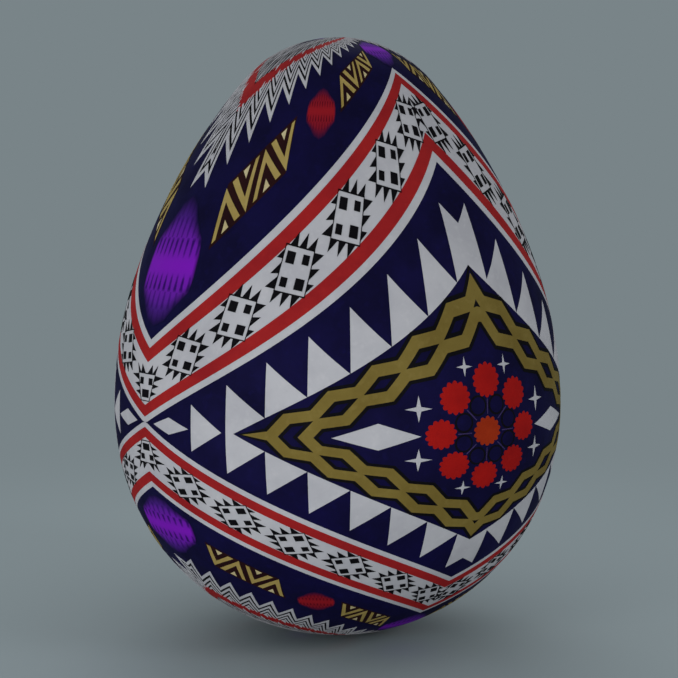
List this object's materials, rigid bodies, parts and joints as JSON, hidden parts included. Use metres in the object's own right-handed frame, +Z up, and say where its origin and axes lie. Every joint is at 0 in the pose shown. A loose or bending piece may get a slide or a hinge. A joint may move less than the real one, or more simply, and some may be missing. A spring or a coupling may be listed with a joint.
{
  "type": "decorated egg",
  "caption": "Whole hen's egg with a geometric wax-resist ornament, standing on its blunt end, with its dried yolk loose inside.",
  "frame": {"origin": "the blunt pole of the bare shell, where the egg sits in a cup", "axes": "+Z up the egg's axis to the pointed end, -Y towards the front diamond"},
  "size_m": [0.044, 0.0438, 0.0582],
  "materials": {
    "shell_white": "matte",
    "membrane": "satin",
    "dried_white": "glassy",
    "dried_yolk": "waxy",
    "navy_dye": "matte",
    "white_field": "matte",
    "red_dye": "matte",
    "petal_red": "matte",
    "heart_orange": "matte",
    "black_dye": "matte",
    "ribbon_gold": "matte",
    "zigzag_gold": "matte",
    "purple_dye": "matte"
  },
  "bodies": {
    "egg": {"eggshell": "shell_white", "outer_membrane": "membrane", "inner_membrane": "membrane", "dried_albumen": "dried_white", "navy_ground": "navy_dye", "upper_band": "white_field", "lower_band": "white_field", "upper_outer_red_line": "red_dye", "upper_inner_red_line": "red_dye", "lower_outer_red_line": "red_dye", "lower_inner_red_line": "red_dye", "upper_net": "black_dye", "lower_net": "black_dye", "front_teeth": "white_field", "back_teeth": "white_field", "front_ribbon": "ribbon_gold", "back_ribbon": "ribbon_gold", "front_petals": "petal_red", "back_petals": "petal_red", "front_heart": "heart_orange", "back_heart": "heart_orange", "front_stars": "white_field", "back_stars": "white_field", "front_lozenges": "white_field", "back_lozenges": "white_field", "upper_purple": "purple_dye", "lower_purple": "purple_dye", "upper_red": "red_dye", "lower_red": "red_dye", "upper_gold_zigzags": "zigzag_gold", "lower_gold_zigzags": "zigzag_gold", "upper_chevrons": "white_field", "lower_chevrons": "white_field", "upper_red_zigzag": "red_dye", "lower_red_zigzag": "red_dye"},
    "kernel": {"dried_yolk": "dried_yolk"}
  },
  "joints": [
    {"name": "yolk_rattle", "type": "slide", "parent": "egg", "child": "kernel", "axis": [0, 0, 1], "range_m": [0, 0.0317]}
  ]
}
